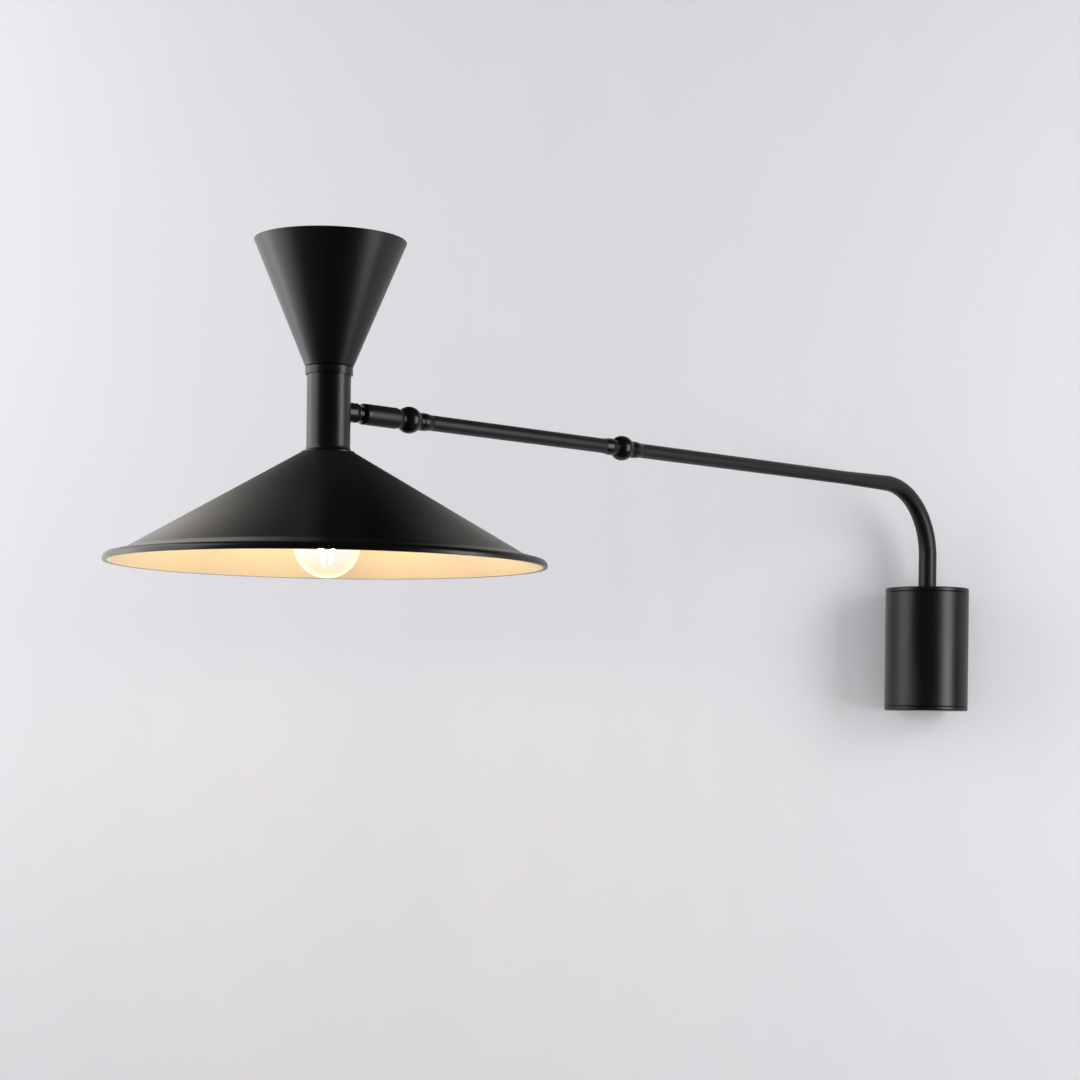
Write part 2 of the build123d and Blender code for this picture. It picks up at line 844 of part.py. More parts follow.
def tangent_from(point, centre, radius):
    """The point where a line from a point above a globe touches its outline."""
    across, up = point[0], point[1] - centre
    turn = acos(radius / hypot(across, up))
    angle = atan2(up, across) - turn
    return (radius * cos(angle), centre + radius * sin(angle))


def globe_solid(radius, neck_radius):
    """A round globe with a neck that tapers, and then runs straight to the screw cap."""
    top = bulb_neck_height
    taper_top = (neck_radius, top - bulb_neck_straight)
    touch = tangent_from(taper_top, globe_centre, radius)
    bottom = (0, globe_centre - radius)
    side = ThreePointArc(bottom, (radius, globe_centre), touch)
    neck = Polyline(touch, taper_top, (neck_radius, top), (0, top), bottom)
    return lathe(side + neck)


def bulb_globe():
    """The clear glass globe and its neck, a closed shell with an open top."""
    inner = globe_solid(globe_radius - glass, bulb_neck_radius - glass)
    return head_place * (globe_solid(globe_radius, bulb_neck_radius) - inner)


def bulb_cap():
    """The bulb's metal screw cap."""
    return head_place * rod(bulb_cap_radius, bulb_neck_height, bulb_neck_height + bulb_cap_length)


def bulb_insulator():
    """The dark insulator between the screw cap and the tip."""
    foot = bulb_neck_height + bulb_cap_length
    top = foot + bulb_insulator_length
    return head_place * turned((0, foot), (bulb_cap_radius, foot), (bulb_tip_radius, top), (0, top))


def bulb_tip():
    """The bulb's centre contact, under the lampholder's."""
    foot = bulb_neck_height + bulb_cap_length + bulb_insulator_length
    return head_place * rod(bulb_tip_radius, foot, contact_height)


def bulb_mount():
    """The glass mount inside the bulb's neck that carries the filaments."""
    foot = bulb_neck_height - bulb_mount_length
    return head_place * turned(
        (0, foot),
        (bulb_mount_tip_radius, foot),
        (bulb_mount_radius, bulb_neck_height),
        (0, bulb_neck_height),
    )


def bulb_filaments():
    """The light-giving sticks round the mount's tip."""
    wire_height = bulb_neck_height - bulb_mount_length + filament_wire_rise
    taper = (bulb_mount_radius - bulb_mount_tip_radius) / bulb_mount_length
    wire_start = bulb_mount_tip_radius + taper * (filament_wire_rise + filament_wire_radius)
    top = wire_height + filament_wire_radius
    stick = rod(filament_radius, top - filament_length, top)
    wire = along_x * rod(filament_wire_radius, wire_start - filament_circle, 0)
    stick += Pos(0, 0, wire_height) * wire
    turn = 360 / filament_count
    places = [Rot(0, 0, turn * index) * Pos(filament_circle, 0, 0) for index in range(filament_count)]
    return Compound([head_place * place * stick for place in places])


def nodes():
    """Every piece under its node's name."""
    return {
        "wall_plate": wall_plate(),
        "cable_grommet": cable_grommet(),
        "terminal_block": terminal_block(),
        "terminal_screws": terminal_screws(),
        "earth_screw": earth_screw(),
        "base_housing": base_housing(),
        "base_top_cap": base_top_cap(),
        "base_bottom_cap": base_bottom_cap(),
        "bottom_screw": bottom_screw(),
        "bearing_shelf": bearing_shelf(),
        "stop_posts": stop_posts(),
        "upper_bush": upper_bush(),
        "lower_bush": lower_bush(),
        "thrust_washer": thrust_washer(),
        "post_spindle": post_spindle(),
        "stop_pin": stop_pin(),
        "friction_washer": friction_washer(),
        "wave_washer": wave_washer(),
        "spindle_nut": spindle_nut(),
        "arm_tube": arm_tube(),
        "elbow_arm_half": elbow_arm_half(),
        "elbow_forearm_half": elbow_forearm_half(),
        "elbow_friction_ring": elbow_place * friction_ring(),
        "elbow_spring_washer": elbow_place * pivot_washer_ring(),
        "elbow_screw": elbow_place * pivot_screw(),
        "forearm_tube": forearm_tube(),
        "wrist_forearm_half": wrist_forearm_half(),
        "wrist_sleeve_half": wrist_sleeve_half(),
        "wrist_friction_ring": wrist_place * friction_ring(),
        "wrist_spring_washer": wrist_place * pivot_washer_ring(),
        "wrist_screw": wrist_place * pivot_screw(),
        "swivel_sleeve": swivel_sleeve(),
        "sleeve_end_collar": sleeve_end_collar(),
        "swivel_wave_washer": swivel_wave_washer(),
        "swivel_lock_nut": swivel_lock_nut(),
        "swivel_washer": swivel_washer(),
        "stem_boss": stem_boss(),
        "swivel_spindle": swivel_spindle(),
        "swivel_spindle_nut": swivel_spindle_nut(),
        "stem_tube": stem_tube(),
        "ring_collar": ring_collar(),
        "upper_cone": upper_cone(),
        "lower_shade": lower_shade(),
        "shade_ring": shade_ring(),
        "centre_rod": centre_rod(),
        "rod_washer": rod_washer(),
        "rod_nut": rod_nut(),
        "lampholder_cap": lampholder_cap(),
        "lampholder_body": lampholder_body(),
        "lampholder_shell": lampholder_shell(),
        "centre_contact": centre_contact(),
        "bulb_globe": bulb_globe(),
        "bulb_cap": bulb_cap(),
        "bulb_insulator": bulb_insulator(),
        "bulb_tip": bulb_tip(),
        "bulb_mount": bulb_mount(),
        "bulb_filaments": bulb_filaments(),
    }


os.makedirs("parts", exist_ok=True)
for name, shape in nodes().items():
    export_step(shape, f"parts/{name}.step")
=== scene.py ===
"""Swing arm wall lamp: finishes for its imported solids, its spun shades, the studio and the camera."""

import json
import logging
import math
from dataclasses import dataclass
from enum import Enum
from typing import Callable, Sequence

import bmesh
import bpy
from mathutils import Matrix, Vector


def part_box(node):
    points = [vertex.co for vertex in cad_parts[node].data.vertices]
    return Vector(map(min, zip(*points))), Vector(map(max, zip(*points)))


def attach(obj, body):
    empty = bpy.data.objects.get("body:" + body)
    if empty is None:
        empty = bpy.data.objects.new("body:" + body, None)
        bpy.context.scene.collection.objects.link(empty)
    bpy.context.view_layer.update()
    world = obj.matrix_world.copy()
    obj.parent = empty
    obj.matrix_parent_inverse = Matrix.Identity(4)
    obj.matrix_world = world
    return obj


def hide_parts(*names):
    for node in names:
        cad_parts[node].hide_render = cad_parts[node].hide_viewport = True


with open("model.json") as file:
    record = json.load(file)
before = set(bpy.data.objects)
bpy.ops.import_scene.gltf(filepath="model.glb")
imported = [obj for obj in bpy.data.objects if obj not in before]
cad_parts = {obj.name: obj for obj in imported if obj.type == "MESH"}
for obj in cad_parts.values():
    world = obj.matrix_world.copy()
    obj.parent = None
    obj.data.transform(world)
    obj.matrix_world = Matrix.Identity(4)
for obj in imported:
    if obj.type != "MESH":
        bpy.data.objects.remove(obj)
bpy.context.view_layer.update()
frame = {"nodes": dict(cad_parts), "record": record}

log = logging.getLogger("wall_lamp")
Colour = tuple[float, float, float]
Point = tuple[float, float]
Place = tuple[float, float, float]


# Shader building


class Value:
    """A shader socket that adds Math nodes when it takes part in Python arithmetic."""

    def __init__(self, graph: "Graph", socket: bpy.types.NodeSocket) -> None:
        """Keeps the socket and the graph that it belongs to."""
        self.graph = graph
        self.socket = socket

    def __add__(self, other: "Value | float") -> "Value":
        """The sum of this value and another."""
        return self.graph.maths("ADD", self, other)

    def __sub__(self, other: "Value | float") -> "Value":
        """This value less another."""
        return self.graph.maths("SUBTRACT", self, other)

    def __rsub__(self, other: float) -> "Value":
        """A number less this value."""
        return self.graph.maths("SUBTRACT", other, self)

    def __mul__(self, other: "Value | float") -> "Value":
        """The product of this value and another."""
        return self.graph.maths("MULTIPLY", self, other)

    __radd__ = __add__
    __rmul__ = __mul__


class Graph:
    """The node tree of one material or of the world, built by calls."""

    def __init__(self, owner: bpy.types.Material | bpy.types.World) -> None:
        """Empties the owner's node tree, to build it afresh."""
        owner.use_nodes = True
        self.tree = owner.node_tree
        self.tree.nodes.clear()

    def add(self, kind: str, settings: dict | None = None, inputs: dict | None = None,
            output: int | str = 0) -> Value:
        """Adds one node.

        Args:
            kind: the node's type.
            settings: its properties, and a ramp's "stops" as (place, colour) pairs, set first.
            inputs: what its sockets hold or are linked to, by the socket's name or number.
            output: which of its sockets is returned.

        Returns:
            The chosen output as a value.
        """
        node = self.tree.nodes.new(kind)
        for name, setting in (settings or {}).items():
            if name == "stops":
                self.set_stops(node.color_ramp, setting)
            else:
                setattr(node, name, setting)
        for name, given in (inputs or {}).items():
            if isinstance(given, Value):
                self.tree.links.new(given.socket, node.inputs[name])
            else:
                node.inputs[name].default_value = given
        return Value(self, node.outputs[output] if len(node.outputs) else None)

    @staticmethod
    def set_stops(ramp: bpy.types.ColorRamp, stops: Sequence[tuple[float, Colour]]) -> None:
        """Gives a colour ramp its stops, first to last."""
        while len(ramp.elements) < len(stops):
            ramp.elements.new(1.0)
        for element, (place, colour) in zip(ramp.elements, stops):
            element.position = place
            element.color = (*colour, 1.0)

    def maths(self, operation: str, first: Value | float, second: Value | float) -> Value:
        """A Math node of two values."""
        return self.add("ShaderNodeMath", {"operation": operation}, {0: first, 1: second})

    def blend(self, factor: Value, low: Colour | Value, high: Colour | Value) -> Value:
        """A colour between two, by a factor."""
        ends = [(*end, 1.0) if isinstance(end, tuple) else end for end in (low, high)]
        inputs = {"Factor": factor, 6: ends[0], 7: ends[1]}
        return self.add("ShaderNodeMix", {"data_type": "RGBA"}, inputs, 2)

    def spot(self, scale: Colour | None = None, turn: Colour = (0.0, 0.0, 0.0)) -> Value:
        """The place on the piece in object coordinates, stretched and turned if asked."""
        place = self.add("ShaderNodeTexCoord", output="Object")
        if scale is None:
            return place
        return self.add("ShaderNodeMapping", inputs={"Vector": place, "Rotation": turn, "Scale": scale})

    def noise(self, size: float, detail: float = 2.0, place: Value | None = None) -> Value:
        """Cloudy noise about 0.5 whose patches are about a size in metres across."""
        inputs = {"Vector": place or self.spot(), "Scale": 1 / size, "Detail": detail}
        return self.add("ShaderNodeTexNoise", inputs=inputs)

    def mix(self, factor: Value, first: Value, second: Value) -> Value:
        """A shader between two, by a factor."""
        return self.add("ShaderNodeMixShader", inputs={"Fac": factor, 1: first, 2: second})

    def parts(self, place: Value) -> tuple[Value, Value, Value]:
        """The X, Y and Z of a place."""
        node = self.add("ShaderNodeSeparateXYZ", inputs={"Vector": place}).socket.node
        return tuple(Value(self, socket) for socket in node.outputs)

    def ramp(self, value: Value, ends: Sequence[float]) -> Value:
        """A smooth change between two levels: the value where it starts and ends, and the levels there."""
        inputs = {"Value": value, **dict(zip(("From Min", "From Max", "To Min", "To Max"), ends))}
        return self.add("ShaderNodeMapRange", {"interpolation_type": "SMOOTHSTEP"}, inputs)

    def bump(self, height: Value, depth: float) -> Value:
        """A surface normal from a height map, its depth in metres."""
        return self.add("ShaderNodeBump", inputs={"Height": height, "Distance": depth, "Strength": 1.0})

    def surface(self, **sockets: object) -> None:
        """Ends the tree in a Principled shader, its sockets named with _ for a space."""
        inputs = {name.replace("_", " "): given for name, given in sockets.items()}
        shader = self.add("ShaderNodeBsdfPrincipled", inputs=inputs)
        self.add("ShaderNodeOutputMaterial", inputs={"Surface": shader})


# Finishes


@dataclass(frozen=True)
class Finish:
    """A finish that makes its material once and hands it to every piece.

    Args:
        name: the material's name.
    """

    name: str

    def build(self, graph: Graph) -> None:
        """Fills the material's node tree."""
        raise NotImplementedError

    def material(self) -> bpy.types.Material:
        """The finish's material, made at its first use.

        Returns:
            The material that all its pieces share.
        """
        known = bpy.data.materials.get(self.name)
        if known is not None and known.get("finish"):
            return known
        made = bpy.data.materials.new(self.name)
        made["finish"] = True
        self.build(Graph(made))
        return made

    def dress(self, *pieces: bpy.types.Object) -> None:
        """Gives the finish to whole pieces."""
        for piece in pieces:
            piece.data.materials.clear()
            piece.data.materials.append(self.material())


@dataclass(frozen=True)
class PowderCoat(Finish):
    """Baked black powder paint: a satin film with fine orange peel and a trace of dust.

    Args:
        colour: the paint's own colour.
        roughness: how dull the film is.
        grain: size of the orange peel, in metres.
        depth: how deep the orange peel is, in metres.
        shine: tint of the film's shine.
        dulling: the height where the film starts to grow duller, where that ends, and by how much.
        cloud_size: size of the film's broad unevenness, in metres.
        dust_size: size of the dust specks, in metres.
        dust_share: how much of the lightening comes from dust and not from the broad unevenness.
        cloud_gloss: how much the broad unevenness changes the roughness.
        dust_gloss: how much the dust changes it.
        lightest: how many times the paint's colour the lightest spots are.
    """

    colour: Colour = (0.0018, 0.0017, 0.0017)
    roughness: float = 0.34
    grain: float = 0.0011
    depth: float = 0.000012
    shine: Colour = (1.0, 1.0, 1.0)
    dulling: tuple[float, float, float] = (0.0, 1.0, 0.0)
    cloud_size: float = 0.045
    dust_size: float = 0.0004
    dust_share: float = 0.4
    cloud_gloss: float = 0.08
    dust_gloss: float = 0.05
    lightest: float = 1.9

    def build(self, graph: Graph) -> None:
        """Mixes the film's colour, gloss and orange peel."""
        cloud = graph.noise(self.cloud_size, 3.0)
        dust = graph.noise(self.dust_size, 1.0)
        peel = graph.noise(self.grain)
        lighter = tuple(self.lightest * part for part in self.colour)
        start, end, duller = self.dulling
        height = graph.parts(graph.spot())[2]
        base = self.roughness - (self.cloud_gloss + self.dust_gloss) / 2
        dullness = graph.ramp(height, (start, end, base, base + duller))
        lightness = cloud * (1.0 - self.dust_share) + dust * self.dust_share
        graph.surface(
            Base_Color=graph.blend(lightness, self.colour, lighter),
            Roughness=cloud * self.cloud_gloss + dust * self.dust_gloss + dullness,
            Specular_Tint=(*self.shine, 1.0),
            Normal=graph.bump(peel, self.depth),
        )


@dataclass(frozen=True)
class CreamEnamel(Finish):
    """The warm white paint inside the lower shade.

    Args:
        colour: the paint's own colour.
        roughness: how dull it is.
        unevenness: size of its broad unevenness, in metres.
        grain: size of its fine texture, in metres.
        depth: how deep that texture is, in metres.
    """

    colour: Colour = (0.89, 0.71, 0.43)
    roughness: float = 0.5
    unevenness: float = 0.03
    grain: float = 0.0014
    depth: float = 0.00001

    def build(self, graph: Graph) -> None:
        """Mixes the paint's colour and its faint unevenness."""
        cloud = graph.noise(self.unevenness, 3.0)
        peel = graph.noise(self.grain)
        yellower = (self.colour[0], self.colour[1] * 0.97, self.colour[2] * 0.92)
        graph.surface(
            Base_Color=graph.blend(cloud, self.colour, yellower),
            Roughness=cloud * 0.1 + (self.roughness - 0.05),
            Normal=graph.bump(peel, self.depth),
        )


@dataclass(frozen=True)
class PlatedMetal(Finish):
    """Plated or turned metal with fine tool marks.

    Args:
        colour: the metal's colour.
        roughness: how dull it is.
        marks: size of the marks, in metres.
        depth: how deep they are, in metres.
        patches: size of the tint's patches, in metres.
    """

    colour: Colour = (0.6, 0.61, 0.62)
    roughness: float = 0.32
    marks: float = 0.0005
    depth: float = 0.000008
    patches: float = 0.012

    def build(self, graph: Graph) -> None:
        """Mixes the metal's tint, gloss and tool marks."""
        cloud = graph.noise(self.patches, 3.0)
        scratch = graph.noise(self.marks, 2.0, graph.spot((1.0, 1.0, 9.0)))
        darker = tuple(0.72 * part for part in self.colour)
        graph.surface(
            Base_Color=graph.blend(cloud, darker, self.colour),
            Metallic=1.0,
            Roughness=scratch * 0.18 + (self.roughness - 0.09),
            Normal=graph.bump(scratch, self.depth),
        )


@dataclass(frozen=True)
class Moulding(Finish):
    """A moulded or fired piece: nylon, rubber, phenolic or porcelain.

    Args:
        colour: its colour.
        roughness: how dull it is.
        coat: weight of a clear glaze over it.
        patches: size of the colour's patches, in metres.
        grain: size of its fine texture, in metres.
        depth: how deep that texture is, in metres.
    """

    colour: Colour = (0.8, 0.79, 0.75)
    roughness: float = 0.5
    coat: float = 0.0
    patches: float = 0.008
    grain: float = 0.0006
    depth: float = 0.000006

    def build(self, graph: Graph) -> None:
        """Mixes the body's colour and its fine texture."""
        cloud = graph.noise(self.patches)
        skin = graph.noise(self.grain)
        darker = tuple(0.86 * part for part in self.colour)
        graph.surface(
            Base_Color=graph.blend(cloud, darker, self.colour),
            Roughness=cloud * 0.1 + (self.roughness - 0.05),
            Coat_Weight=self.coat,
            Normal=graph.bump(skin, self.depth),
        )


@dataclass(frozen=True)
class BulbGlass(Finish):
    """Thin glass full of its lamp's glare: milky face on and brighter towards its edge.

    Args:
        face: how much the glare covers where the glass is seen face on.
        edge: how much it covers at the outline.
        glare: its colours from face on to the outline.
        tip: height of the globe's lowest point, and where the glare is whitest.
        white: the whitest glare.
        wave: size of the glass's waves, in metres.
        wave_depth: how deep they are, in metres.
    """

    face: float = 0.28
    edge: float = 0.75
    glare: tuple[tuple[float, Colour], ...] = (
        (0.0, (1.0, 0.95, 0.78)), (0.35, (0.97, 0.89, 0.60)), (0.62, (0.98, 0.84, 0.48)),
        (0.80, (1.0, 0.93, 0.68)), (1.0, (1.0, 0.96, 0.80)))
    tip: Point = (0.027, 0.042)
    white: Colour = (1.0, 1.0, 0.97)
    wave: float = 0.006
    wave_depth: float = 0.00002

    def build(self, graph: Graph) -> None:
        """Lets the glare cover more at a slant, and waves the glass slightly."""
        slant = graph.add("ShaderNodeLayerWeight", inputs={"Blend": 0.5}, output="Facing")
        ripple = graph.noise(self.wave, 1.0)
        glare = graph.add("ShaderNodeValToRGB", {"stops": self.glare}, {"Fac": slant})
        height = graph.parts(graph.spot())[2]
        whiter = graph.ramp(height, (*self.tip, 0.0, 1.0)) * (1.0 - slant)
        graph.surface(
            Base_Color=(0.0, 0.0, 0.0, 1.0),
            Roughness=0.03,
            Alpha=slant * (self.edge - self.face) + self.face,
            Emission_Color=graph.blend(whiter, glare, self.white),
            Emission_Strength=1.0,
            Normal=graph.bump(ripple, self.wave_depth),
        )


@dataclass(frozen=True)
class Glow(Finish):
    """Phosphor that gives off light.

    Args:
        colour: the light's colour.
        strength: how bright it is.
        patches: size of its brighter patches, in metres.
    """

    colour: Colour = (1.0, 0.74, 0.41)
    strength: float = 820.0
    patches: float = 0.002

    def build(self, graph: Graph) -> None:
        """Mixes a slightly uneven light."""
        cloud = graph.noise(self.patches)
        paler = tuple(0.5 + 0.5 * part for part in self.colour)
        graph.surface(
            Base_Color=(*self.colour, 1.0),
            Roughness=0.6,
            Emission_Color=graph.blend(cloud, self.colour, paler),
            Emission_Strength=self.strength,
        )


class Finishes(Enum):
    """Every finish on the lamp. One that is named as a slot of the record dresses that slot's nodes."""

    BLACK_SATIN = PowderCoat("satin_black_powder_coat")
    SHADE_BLACK = PowderCoat("warm_black_shade_paint", roughness=0.30,
                             shine=(1.0, 0.95, 0.9), dulling=(0.05, 0.112, 0.34))
    SHADE_CREAM = CreamEnamel("cream_shade_enamel")
    TUBE_BLACK = PowderCoat("drawn_tube_black_paint", roughness=0.42)
    BLACK_GLOSS = PowderCoat("smooth_black_enamel", roughness=0.3, grain=0.0008, depth=0.000004)
    BLACK_SCREW = PlatedMetal("blackened_steel", (0.05, 0.05, 0.052), 0.38)
    ZINC_STEEL = PlatedMetal("zinc_plated_steel")
    BRASS = PlatedMetal("turned_brass", (0.72, 0.5, 0.2), 0.3)
    NYLON = Moulding("natural_nylon")
    RUBBER = Moulding("black_rubber", (0.02, 0.02, 0.02), 0.7)
    PORCELAIN = Moulding("glazed_porcelain", (0.82, 0.81, 0.78), 0.25, 0.6)
    CLEAR_GLASS = BulbGlass("clear_bulb_glass")
    BULB_METAL = PlatedMetal("bare_aluminium", (0.7, 0.7, 0.71), 0.3)
    BULB_INSULATOR = Moulding("dark_insulator", (0.015, 0.013, 0.012), 0.2)
    FILAMENT = Glow("lit_phosphor")


# Turned pieces


def arc(centre: Point, radius: float, start: float, end: float, steps: int) -> list[Point]:
    """Points along an arc of an outline.

    Args:
        centre: the arc's centre, as a radius and a height.
        radius: of the arc.
        start: the angle of its first point, in degrees above outwards.
        end: the angle of its last point.
        steps: how many runs it has.

    Returns:
        Its points, from the first to the last.
    """
    angles = [math.radians(start + (end - start) * step / steps) for step in range(steps + 1)]
    across, up = centre
    return [(across + radius * math.cos(angle), up + radius * math.sin(angle)) for angle in angles]


class Turning:
    """A mesh that is spun about an upright axis from a closed outline of radii and heights."""

    def __init__(self, outline: Sequence[Point], steps: int = 144) -> None:
        """Spins the outline once round, merges its seam, and turns its faces outwards."""
        self.mesh = bmesh.new()
        points = [self.mesh.verts.new((radius, 0.0, height)) for radius, height in outline]
        for pair in zip(points, points[1:] + points[:1]):
            self.mesh.edges.new(pair)
        bmesh.ops.spin(self.mesh, geom=[*self.mesh.verts, *self.mesh.edges], cent=(0, 0, 0), dvec=(0, 0, 0),
                       axis=(0, 0, 1), angle=math.tau, steps=steps, use_merge=True, use_duplicate=False)
        bmesh.ops.remove_doubles(self.mesh, verts=self.mesh.verts, dist=1e-6)
        bmesh.ops.recalc_face_normals(self.mesh, faces=self.mesh.faces)

    def ease(self, width: float, *corners: Point) -> None:
        """Rounds the ring edges at some corners of the outline.

        Args:
            width: how far the rounding reaches from the edge.
            corners: the corners, as they are in the outline.
        """
        def on(vert: bmesh.types.BMVert, corner: Point) -> bool:
            """Whether a vertex lies on the ring of a corner."""
            return math.dist((math.hypot(vert.co.x, vert.co.y), vert.co.z), corner) < 1e-5

        rings = [edge for edge in self.mesh.edges
                 if any(on(edge.verts[0], corner) and on(edge.verts[1], corner) for corner in corners)]
        bmesh.ops.bevel(self.mesh, geom=rings, offset=width, offset_type="OFFSET", segments=3, profile=0.5,
                        affect="EDGES", material=-1, clamp_overlap=True)

    def paint(self, chosen: Callable[[bmesh.types.BMFace], bool]) -> None:
        """Gives the second finish to the faces that are chosen."""
        for face in self.mesh.faces:
            face.normal_update()
            if chosen(face):
                face.material_index = 1

    def piece(self, name: str, place: Matrix, *finishes: Finishes) -> bpy.types.Object:
        """Ends the mesh as an object at the origin.

        Args:
            name: the piece's name.
            place: where the outline's axis and zero height lie.
            finishes: of the first and the second material.

        Returns:
            The finished piece.
        """
        self.mesh.transform(place)
        data = bpy.data.meshes.new(name)
        self.mesh.to_mesh(data)
        self.mesh.free()
        data.shade_smooth()
        data.set_sharp_from_angle(angle=math.radians(50))
        for finish in finishes:
            data.materials.append(finish.value.material())
        made = bpy.data.objects.new(name, data)
        bpy.context.scene.collection.objects.link(made)
        made.modifiers.new("even_normals", "WEIGHTED_NORMAL").keep_sharp = True
        log.info("%s: %d faces", name, len(data.polygons))
        return made


@dataclass
class Head:
    """The shades, spun about the stem's axis. Heights are above the lower shade's rim.

    Args:
        body: the body that the head's pieces ride on.
        sheet: thickness of the spun sheet.
        rim_radius: of the lower shade.
        kink_radius: where the lower shade's lip starts.
        crown_radius: of the lower shade's flat crown.
        crown_bore: radius of the hole in the crown.
        slope: of the lower shade's cone, in degrees.
        lip_slope: of its lip.
        nose_radius: of its rounded rim.
        nose_drop: height of the rim's upright edge.
        hem_width: thickness of the filled hem at the rim's foot.
        cone_foot: radius of the upper cone's floor.
        cone_rim: radius of its rim.
        cone_bore: radius of the hole in its floor.
        kink_ease: width of the rounding at the kink.
        crown_ease: of the rounding at the crown's edge.
        foot_ease: of the rounding at the upper cone's foot.
        edge_ease: of the rounding at the sheet's edges.
        downward: how much a face has to look down to be painted as the shade's inside.
    """

    body: str = "head"
    sheet: float = 0.0012
    rim_radius: float = 0.14995
    kink_radius: float = 0.136
    crown_radius: float = 0.0184
    crown_bore: float = 0.0133
    slope: float = 30.2
    lip_slope: float = 13.7
    nose_radius: float = 0.004
    nose_drop: float = 0.0013
    hem_width: float = 0.0029
    cone_foot: float = 0.0163
    cone_rim: float = 0.05175
    cone_bore: float = 0.00505
    kink_ease: float = 0.0022
    crown_ease: float = 0.0012
    foot_ease: float = 0.0008
    edge_ease: float = 0.0004
    downward: float = 0.2

    def __post_init__(self) -> None:
        """Reads the axis and the rim's height from the frame."""
        low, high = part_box("lower_shade")
        self.rim_height = low[2]
        self.axis = Matrix.Translation(((low[0] + high[0]) / 2, (low[1] + high[1]) / 2, low[2]))

    def heights(self, node: str) -> Point:
        """The lowest and highest point of a node above the rim."""
        low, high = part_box(node)
        return low[2] - self.rim_height, high[2] - self.rim_height

    def finish(self, turning: Turning, node: str, slot: str, *finishes: Finishes) -> None:
        """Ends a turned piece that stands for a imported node, and sets it on the head's body."""
        made = turning.piece(f"{node}_turned", self.axis, *finishes)
        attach(made, self.body)
        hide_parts(node)

    def lower_shade(self) -> None:
        """The wide shade, black outside and cream inside, with a soft kink and a rounded, hemmed rim."""
        slope, lip = math.radians(self.slope), math.radians(self.lip_slope)
        lip_end = (self.rim_radius - self.nose_radius, self.nose_drop)
        nose = arc(lip_end, self.nose_radius, 90 - self.lip_slope, 0, 6)
        kink = (self.kink_radius, nose[0][1] + (nose[0][0] - self.kink_radius) * math.tan(lip))
        crown = (self.crown_radius, kink[1] + (kink[0] - self.crown_radius) * math.tan(slope))
        drop = self.sheet / math.cos(slope)
        under = (self.crown_radius - (drop - self.sheet) / math.tan(slope), crown[1] - self.sheet)
        rim, foot = (self.rim_radius, 0.0), (self.rim_radius - self.hem_width, 0.0)
        inside = [foot, (kink[0], kink[1] - drop), under, (self.crown_bore, under[1])]
        shade = Turning([(self.crown_bore, crown[1]), crown, kink, *nose, rim, *inside], steps=240)
        shade.ease(self.kink_ease, kink)
        shade.ease(self.crown_ease, crown)
        shade.ease(self.edge_ease, rim, foot)
        shade.paint(lambda face: face.normal.z < -self.downward
                    and face.calc_center_median().z > self.sheet / 2)
        self.finish(shade, "lower_shade", "black_satin", Finishes.SHADE_BLACK, Finishes.SHADE_CREAM)

    def upper_cone(self) -> None:
        """The upper cone: spun sheet with a flat floor and an eased rim, open at the top."""
        foot, rim = self.heights("upper_cone")
        rise = math.atan2(self.cone_rim - self.cone_foot, rim - foot)
        across = self.sheet / math.cos(rise)
        floor = foot + self.sheet
        outer = [(self.cone_bore, foot), (self.cone_foot, foot), (self.cone_rim, rim)]
        corner = (self.cone_foot + self.sheet * math.tan(rise) - across, floor)
        inner = [(self.cone_rim - across, rim), corner, (self.cone_bore, floor)]
        cone = Turning([*outer, *inner])
        cone.ease(self.foot_ease, outer[1])
        cone.ease(self.edge_ease, outer[2], inner[0])
        self.finish(cone, "upper_cone", "black_satin", Finishes.BLACK_SATIN)

    def build(self) -> None:
        """Makes every turned piece of the head."""
        self.lower_shade()
        self.upper_cone()


# Studio


